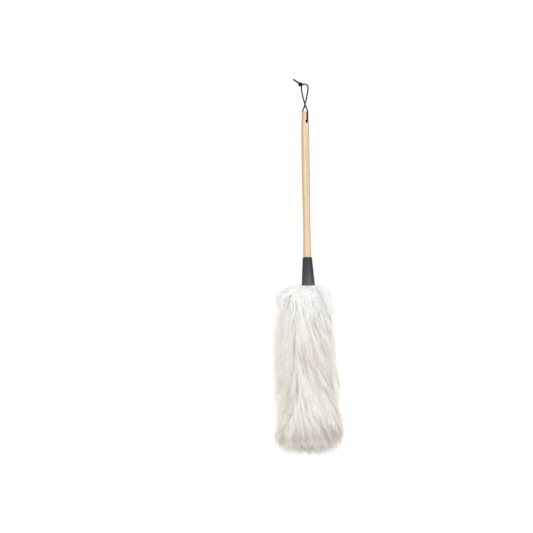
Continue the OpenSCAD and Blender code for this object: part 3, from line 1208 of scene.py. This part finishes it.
@dataclass
class Pile:
    """The strands' own numbers, as arrays over locks, strands in a lock, and places along a strand.

    Formula in words: a strand ends near its lock's place, and starts its lock's length further back along
    the outline, or at the throat. Locks differ in length and layer, and are shorter on the left.
    """

    rng: np.random.Generator
    outline: WoolOutline
    around: np.ndarray
    end: np.ndarray
    t: np.ndarray
    strands_per_lock: int
    layer_max: float = 5.5 * MM
    shortest: float = 66 * MM
    longer: float = 24 * MM
    left_shorter: float = 0.45
    lock_half: float = 6.5 * MM
    sway_len: float = 38 * MM
    stray_share: float = 0.07
    stray_out: float = 4.0 * MM
    dark_share: float = 0.14

    def __post_init__(self) -> None:
        """Draws each lock's layer and length and each strand's end."""
        self.lock = (len(self.around), 1, 1)
        self.each = (len(self.around), self.strands_per_lock, 1)
        self.left = np.clip(-np.sin(self.around), 0, 1)
        self.layer = self.rng.random(self.lock) ** 1.4 * self.layer_max
        longest = self.shortest + self.longer * self.rng.random(self.lock)
        self.length = longest * (1 - self.left_shorter * self.left)
        own_end = self.end + self.rng.uniform(-12, 8, self.each) * MM
        self.own_end = np.clip(own_end, 9 * MM, self.outline.run[-1])
        self.start = np.clip(self.own_end - self.length, 0, None)

    def sunk(self) -> np.ndarray:
        """How deep each place along each strand lies below the outline.

        Formula in words: a strand rises from its root to its layer as a power of the way along it, less
        deep near the throat. A few stray strands stand out at their ends.

        Returns:
            The depths, in metres.
        """
        rng, t, left = self.rng, self.t, self.left
        throat = ease(self.start / ((44 - 20 * left) * MM))
        root = (18 + 9 * rng.random(self.lock) + 12 * left) * MM * throat
        layer = self.layer * (0.12 + 0.88 * ease((self.own_end - 15 * MM) / (100 * MM)))
        depth = root * (1 - t) ** (1.4 - 0.5 * left) + layer
        below_throat = 0.4 + 0.6 * ease(self.own_end / (80 * MM))
        depth = depth + rng.uniform(0, 1.8, self.each) * below_throat * MM
        self.stray = (rng.random(self.each) < self.stray_share) * rng.random(self.each)
        return depth - self.stray * self.stray_out * t**2

    def sideways(
        self, spread: np.ndarray, gather: np.ndarray, fan: np.ndarray, height: np.ndarray
    ) -> np.ndarray:
        """How far aside of its lock's middle each place along each strand lies.

        Formula in words: strands lie side by side in the lock and gather towards its end. The fan draws
        their roots aside, so that their ends stay evenly spread, and each lock sways as a sine wave.

        Args:
            spread: Each strand's place across its lock, from -1 to 1.
            gather: Share of the lock's width that is left at each place along it.
            fan: Sideways part of the flow, for each metre along the outline.
            height: Height of each place.

        Returns:
            The distances, in metres.
        """
        rng, t, lock, each = self.rng, self.t, self.lock, self.each
        wave = 0.08 * np.sin(3 * self.around - height / (48 * MM) + 1)
        sweep = (fan + wave) * (self.own_end - self.start)
        sweep = sweep * (0.6 + 0.4 * ease(self.start / (40 * MM)))
        sweep = sweep + rng.normal(0, 2.2, lock) * MM + rng.normal(0, 1.3, each) * MM
        phase = rng.uniform(0, 2 * np.pi, lock) + rng.normal(0, 0.3, each)
        size = (0.3 + 0.7 * rng.random(lock)) * MM
        sway = size * np.sin(2 * np.pi * t * self.length / self.sway_len + phase) * ease(t * 2.5)
        astray = self.stray * rng.normal(0, 4, each) * MM * t**2
        return spread * self.lock_half * gather + sweep * (t**1.3 - 1) + sway + astray

    def tones(self, down: np.ndarray, spread: np.ndarray, parting: np.ndarray) -> np.ndarray:
        """Tone of each strand, from 0 for clean to 1 for dirty and shaded.

        Formula in words: the tone grows from the shoulder to the middle, partly dirt and partly painted
        shade, more in deep layers as painted shade, and drops a little below it. It grows again at the tip,
        partly dirt and partly painted shade, as painted shade in the gaps and at a lock's sides, and a few
        locks are darker than the rest.

        Args:
            down: Share of the wool's length above each strand's end.
            spread: Each strand's place across its lock, from -1 to 1.
            parting: How much each strand lies in a gap.

        Returns:
            The tones.
        """
        rng, lock = self.rng, self.lock
        # Darker from the shoulder to the middle, partly dirt and partly painted shade, and darker in deep
        # layers as painted shade.
        worn = ease((down - 0.06) / 0.42)
        tone = (0.27 + 0.36 * self.layer / self.layer_max) * worn - 0.07 * ease((down - 0.5) / 0.3)
        # Painted shade at a lock's sides, and a random tone for each lock.
        tone = tone + (0.02 + 0.22 * down) * spread**2 + rng.normal(0, 0.13, lock) * (0.1 + down)
        dark = rng.normal(0, 0.04, self.each) + (rng.random(lock) < self.dark_share) * 0.25 * down**0.5
        tone = tone + dark
        # Darker at the tip, partly dirt and partly painted shade, and painted shade in the gaps between
        # locks.
        tone = tone + 0.54 * ease((down - 0.80) / 0.18) + 0.38 * parting * ease(down / 0.35)
        return np.clip(tone, 0.01, 0.98)


@dataclass
class Fleece:
    """The long pile: thousands of tapering strands in locks, over a ribbed core that closes the gaps."""

    outline: WoolOutline
    collar: Collar
    core_r: float = 10.35 * MM
    core_end_z: float = -618.95 * MM
    core_share: float = 0.80
    turns: int = 9
    locks_per_turn: int = 194
    strands_per_lock: int = 25
    rings: int = 7
    strand_r: float = 0.40 * MM
    side_shift: float = 11.0 * MM
    gaps: int = 190
    gap_depth: float = 3.2 * MM
    outside_share: float = 0.10
    outside_r: float = 2.3 * MM
    tip_fall: float = 56 * MM
    least_r: float = 48 * MM
    roundness: float = 0.5
    seed: int = 24
    # Two steps with no common measure, which spread points evenly over a square
    even_steps: tuple[float, float] = (0.7548776662, 0.5698402910)

    def lopsided(self, points: np.ndarray) -> np.ndarray:
        """Moves wool sideways and makes it lumpy.

        Formula in words: the wool hangs fuller to the left. The shift grows from nothing at the throat to its
        full size below the shoulder, then fades towards the tip, and is less near the rod. Three waves
        round and down it scale the radius, and the front sags a little just outside the collar.

        Args:
            points: Points about the rod's axis.

        Returns:
            The moved points.
        """
        depth = self.outline.top_z - points[..., 2]
        radius = np.hypot(points[..., 0], points[..., 1])
        around = np.arctan2(points[..., 0], -points[..., 1])
        near = np.clip(radius / (45 * MM), 0, 1)
        towards_tip = 1 - 0.72 * np.clip(depth / (270 * MM), 0, 1)
        shift = -self.side_shift * ease(depth / (30 * MM)) * towards_tip * near
        height = points[..., 2] / MM
        lump = 0.020 * np.sin(2 * around + height / 60 + 0.5) + 0.014 * np.sin(5 * around - height / 31)
        lump = lump + 0.010 * np.sin(3 * around + height / 17 + 2.0)
        scale = 1 + lump * near * ease(depth / (20 * MM))
        front = np.clip(np.cos(around), 0, 1)
        sag = 2.2 * MM * front * ease((radius - 12 * MM) / (8 * MM)) * (1 - ease(depth / (30 * MM)))
        x, y, z = np.moveaxis(points, -1, 0)
        return np.stack([x * scale + shift, y * scale, z - sag], axis=-1)

    def partings(
        self, rng: np.random.Generator, around: np.ndarray, run: np.ndarray, slant: np.ndarray
    ) -> np.ndarray:
        """How much each strand lies in a gap between broad locks.

        Formula in words: the gaps are streaks scattered over the surface, long along the pile's flow and
        narrow across it, and each fades as a bell curve both ways. The nearest gap counts.

        Args:
            rng: Source of random numbers.
            around: Azimuth of each strand's end.
            run: Distance of each strand's end along the outline.
            slant: Sideways part of the flow there, for each metre along the outline.

        Returns:
            A value from 0 to 1 for each strand.
        """
        gap_around = rng.uniform(-np.pi, np.pi, self.gaps)
        gap_run = rng.uniform(0.03, 1, self.gaps) * self.outline.tip_run
        gap_len = rng.uniform(16, 34, self.gaps) * MM
        gap_w = rng.uniform(2.2, 4.6, self.gaps) * MM
        aside = (around - gap_around + np.pi) % (2 * np.pi) - np.pi
        aside = aside * self.outline.belly_r
        onward = run - gap_run
        stretch = np.sqrt(1 + slant**2)
        along = (onward + slant * aside) / stretch
        across = (aside - slant * onward) / stretch
        return np.exp(-((across / gap_w) ** 2) - (along / gap_len) ** 2).max(axis=-1, keepdims=True)

    def lock_places(self) -> tuple[np.ndarray, np.ndarray]:
        """Where the locks' ends lie.

        Formula in words: two steps with no common measure spread the locks evenly, one round the rod and
        one over the outline's surface, whose weight at a place grows with the radius there.

        Returns:
            Azimuths and distances along the outline, sorted from the throat to the tip.
        """
        number = np.arange(self.turns * self.locks_per_turn)
        around = 2 * np.pi * ((0.5 + number * self.even_steps[0]) % 1)
        share = (0.5 + number * self.even_steps[1]) % 1
        weight = np.cumsum(self.outline.radius + 6 * MM)
        end = np.interp(share, weight / weight[-1], self.outline.run)
        order = np.argsort(end)
        return around[order][:, None, None], end[order][:, None, None]

    def rooted(self, pile: Pile, r: np.ndarray, z: np.ndarray) -> tuple[np.ndarray, ...]:
        """Fits the roots of the strands that start at the throat to the collar.

        Formula in words: the shift fades as a cube along the strand. Every tenth strand starts outside the
        collar, a little higher, and all follow the dip of the collar's lower edge.

        Args:
            pile: The strands' own numbers.
            r: Distance of each place to the rod's axis.
            z: Height of each place.

        Returns:
            The new distances and heights, and how far the shift holds at each place.
        """
        holds = (pile.start < 1 * MM) * (1 - pile.t) ** 3
        outside = pile.rng.random(pile.each) < self.outside_share
        r = r + holds * outside * self.outside_r
        rise = outside * pile.rng.uniform(0.0, 2.6, pile.each) + pile.rng.uniform(-1.0, 0.4, pile.each)
        from_front = np.degrees(np.abs((pile.around + np.pi) % (2 * np.pi) - np.pi))
        return r, z + holds * rise * MM - self.collar.dip(from_front) * holds, holds

    def hung(self, pile: Pile, r: np.ndarray, z: np.ndarray) -> tuple[np.ndarray, np.ndarray]:
        """Lets the strands at the flat tip hang straight down, to ragged ends.

        Formula in words: past the start of the tip a strand turns into a steep line to its own end, and
        locks and strands then end lower or higher by random amounts.

        Args:
            pile: The strands' own numbers.
            r: Distance of each place to the rod's axis.
            z: Height of each place.

        Returns:
            The new distances and heights.
        """
        past = pile.own_end - self.outline.tip_run
        fall = ease((past - 4 * MM) / (34 * MM))
        r_end, z_end = self.outline.at(pile.own_end)[:2]
        r = r * (1 - fall) + fall * r_end * (0.78 + 0.22 * pile.t**0.8)
        ragged = pile.rng.uniform(-4.5, 10.5, pile.lock) + pile.rng.uniform(-2, 3, pile.each)
        z = z * (1 - fall) + fall * (z_end + (1 - pile.t) * self.tip_fall)
        return r, z + ease(past / (20 * MM)) * ragged * MM * pile.t**2

    def strand_lines(self) -> tuple[np.ndarray, ...]:
        """Middle lines of all strands, sorted from the throat to the tip.

        Formula in words: a strand follows the outline to its end, sunk below it and deeper in the gaps
        between broad locks. The flow fans out from the front to both sides. Roots are then fitted to the
        collar, the tip's strands hang down, and the sideways distances turn each place about the rod.

        Returns:
            Points of each strand, outward directions, tones from 0 to 1, half widths, and how much of its
            painted root shade it skips, from 0 to 1.
        """
        rng = np.random.default_rng(self.seed)
        shape = self.outline
        t = np.linspace(0, 1, self.rings + 1)[None, None]
        pile = Pile(rng, shape, *self.lock_places(), t, self.strands_per_lock)
        around, own_end, start = pile.around, pile.own_end, pile.start
        radius, height, out_r, out_z, lit_r, lit_z = shape.at(start + (own_end - start) * t)
        depth = pile.sunk()
        fan = np.tanh(2.0 * np.sin(around + 0.3)) * (0.46 + 0.35 * pile.left)
        fan = fan * (0.5 + 0.5 * np.clip(1.6 * np.cos(around), 0, 1))
        gather = 1 - rng.uniform(0.45, 0.85, pile.lock) * t**1.5 * ease(own_end / (90 * MM))
        spread = rng.uniform(-1, 1, pile.each)
        own_around = around + spread * 2.5 * MM / shape.belly_r
        parting = self.partings(rng, own_around, own_end - 12 * MM, fan)
        parting = parting * ease((own_end - 35 * MM) / (50 * MM))
        depth = depth + parting * self.gap_depth * t * (1 - 0.3 * t)
        r, z, holds = self.rooted(pile, radius - out_r * depth, height - out_z * depth)
        r, z = self.hung(pile, r, z)
        azimuth = around + pile.sideways(spread, gather, fan, height) / np.maximum(radius, self.least_r)
        points = about_rod(r, azimuth, z)
        points[..., 0] += self.collar.lean * holds
        out = about_rod(lit_r, azimuth, lit_z)
        down = np.clip((shape.top_z - z[..., -1:]) / (shape.top_z - shape.end_z), 0, 1)
        tone = pile.tones(down, spread, parting)
        width = self.strand_r * rng.uniform(0.7, 1.3, pile.each) * (1 - 0.4 * (pile.stray > 0))
        # Strands rooted at the throat show on top, so their map skips most of the painted root shade.
        root_shade_skip = 0.85 * (1 - ease(start / (32 * MM)))
        stations = (-1, self.rings + 1, 3)
        lines = self.lopsided(points).reshape(stations)
        return lines, out.reshape(stations), tone.reshape(-1), width.reshape(-1), root_shade_skip.reshape(-1)

    def build_turn(
        self,
        name: str,
        lines: np.ndarray,
        out: np.ndarray,
        tone: np.ndarray,
        width: np.ndarray,
        root_shade_skip: np.ndarray,
    ) -> bpy.types.Object:
        """One piece of pile from its strands' middle lines.

        Formula in words: each strand is a three-sided tube, ridge outwards, which swells from its root,
        thins towards its end and closes in one point. Its map has the tone across and root to end along.
        It is shaded as part of the whole pile: its normals are drawn towards the pile's outward direction.

        Args:
            name: Name of the piece.
            lines: Points of each strand.
            out: Outward directions at those points.
            tone: Tone of each strand.
            width: Half width of each strand.
            root_shade_skip: How far each strand's map is moved from the root to the end.

        Returns:
            The piece.
        """
        count, stations, _ = lines.shape
        ahead = unit(np.gradient(lines, axis=1))
        side = unit(np.cross(out, ahead))
        up = np.cross(ahead, side)
        t = np.linspace(0, 1, stations)
        taper = (0.45 + 0.55 * ease(t / 0.3)) * (1 - t**2.2) + 0.02
        size = (width[:, None] * taper)[:, :-1, None, None]
        corner = np.radians([90, 210, 330])
        ring = np.cos(corner)[:, None] * side[:, :-1, None] + 0.7 * np.sin(corner)[:, None] * up[:, :-1, None]
        tubes = (lines[:, :-1, None] + size * ring).reshape(count, -1, 3)
        points = np.concatenate([tubes, lines[:, -1:]], axis=1)
        lit = unit(out[:, :-1, None] + self.roundness * ring).reshape(count, -1, 3)
        normals = np.concatenate([lit, out[:, -1:]], axis=1)

        quad = lap_index(stations - 1, 3, True)
        last = (stations - 2) * 3
        tri = np.concatenate([pole_fan(last, 3, last + 3, False), [[2, 1, 0]]])
        base = (np.arange(count) * points.shape[1])[:, None, None]
        quads = (quad[None] + base).reshape(-1, 4)
        tris = (tri[None] + base).reshape(-1, 3)

        slim = 0.004
        map_u = np.concatenate([np.tile([-slim, 0, slim], stations - 1), [0]])
        along = np.concatenate([np.repeat(t[:-1], 3), [1]])
        map_v = (root_shade_skip[:, None] + (1 - root_shade_skip[:, None]) * along) * 0.94 + 0.04
        map_v[:, 1] -= 0.02
        point_uv = np.stack([tone[:, None] + map_u, map_v], axis=-1)
        corner_uv = point_uv.reshape(-1, 2)[np.concatenate([quads.ravel(), tris.ravel()])]
        piece = add_object(name, points.reshape(-1, 3), quads, tris, corner_uv, "OFBake")
        piece.data.normals_split_custom_set_from_vertices(normals.reshape(-1, 3).astype(np.float32))
        return piece

    def build_core(self) -> bpy.types.Object:
        """The ribbed inner wool.

        Formula in words: a closed outline goes up the bore, out at the throat and down inside the strands. It
        is turned about the rod's axis, and its outer part is ribbed by waves that lean with height.

        Returns:
            The core.
        """
        shape = self.outline
        rise = np.linspace(self.core_end_z, shape.top_z - 8 * MM, 14)
        bore = np.stack([np.full(14, self.core_r), rise], axis=1)
        run = np.linspace(0, 1, 110)[1:-1] * shape.run[-1]
        radius, height, out_r, out_z = shape.at(run)[:4]
        sunk = (1 - self.core_share) * shape.belly_r * ease(run / (60 * MM)) + 1.5 * MM
        skin = np.stack([radius - out_r * sunk, height - out_z * sunk], axis=1)
        skin = skin[skin[:, 0] > self.core_r * 0.2]
        line = np.concatenate([bore, skin])
        outer = np.concatenate([np.zeros(len(bore)), ease(np.linspace(0, 8, len(skin)))])
        cols = 300
        spin = 2 * np.pi * np.arange(cols) / cols
        level = line[:, 1:] / MM
        rib = np.sin(34 * spin + level / 11) * np.sin(21 * spin - level / 17 + 1)
        r = line[:, :1] + outer[:, None] * np.minimum(1.6 * MM, line[:, :1] * 0.05) * rib
        z = np.broadcast_to(line[:, 1:], r.shape)
        even = about_rod(r, spin, z)
        points = np.concatenate([even[: len(bore)], self.lopsided(even)[len(bore) :]])
        poles = np.array([[0, 0, self.core_end_z], [0, 0, float(skin[-1, 1])]])
        rows = len(line)
        quads = lap_index(rows, cols, True)
        first_end = pole_fan(0, cols, rows * cols, True)
        last_end = pole_fan((rows - 1) * cols, cols, rows * cols + 1, False)
        tris = np.concatenate([first_end, last_end])
        row, col = np.divmod(quads, cols)
        col = np.where((col == 0) & (quads[:, :1] % cols == cols - 1), cols, col)
        # The core's map takes more of the painted root shade towards the tip.
        quad_uv = np.stack([0.06 + 0.3 * col / cols, 0.95 - 0.6 * row / rows], axis=-1).reshape(-1, 2)
        tri_uv = np.tile([[0.40, 0.05], [0.41, 0.05], [0.405, 0.07]], (2 * cols, 1))
        corner_uv = np.concatenate([quad_uv, tri_uv])
        points = np.concatenate([points.reshape(-1, 3), poles])
        piece = add_object("wool_core", points, quads, tris, corner_uv, "OFBake")
        close_seams(piece)
        return piece

    def build(self) -> list[bpy.types.Object]:
        """The core and the turns of pile, in one finish.

        Returns:
            The pieces.
        """
        strands = self.strand_lines()
        per_turn = self.locks_per_turn * self.strands_per_lock
        pieces = [self.build_core()]
        for number in range(self.turns):
            own = slice(number * per_turn, (number + 1) * per_turn)
            pieces.append(self.build_turn(f"wool_turn_{number + 1}", *(part[own] for part in strands)))
        finish = Wool().make()
        for piece in pieces:
            piece.data.materials.append(finish)
            place_piece(piece, Body.DUSTER, Slot.WOOL, "fleece")
        return pieces


# ---------------------------------------------------------------- the whole duster


def main() -> None:
    """Builds the studio and the duster's sub-assemblies in order."""
    logging.basicConfig(level=logging.INFO, format="%(message)s")
    studio = Studio()
    studio.set_camera()
    effects = Effects()
    HangingLoop(effects).build()
    studio.lay_floor()
    studio.light()
    HandleAndTacks(effects).dress()
    collar = Collar(effects, top_z=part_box("collar")[1].z)
    collar.build()
    low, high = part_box("fleece")
    fleece = Fleece(WoolOutline(top_z=high.z, end_z=low.z), collar).build()
    Pelt(effects, top_z=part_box("pelt_strip")[1].z, rod_end_z=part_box("handle")[0].z).build(fleece)


if __name__ == "__main__":
    main()
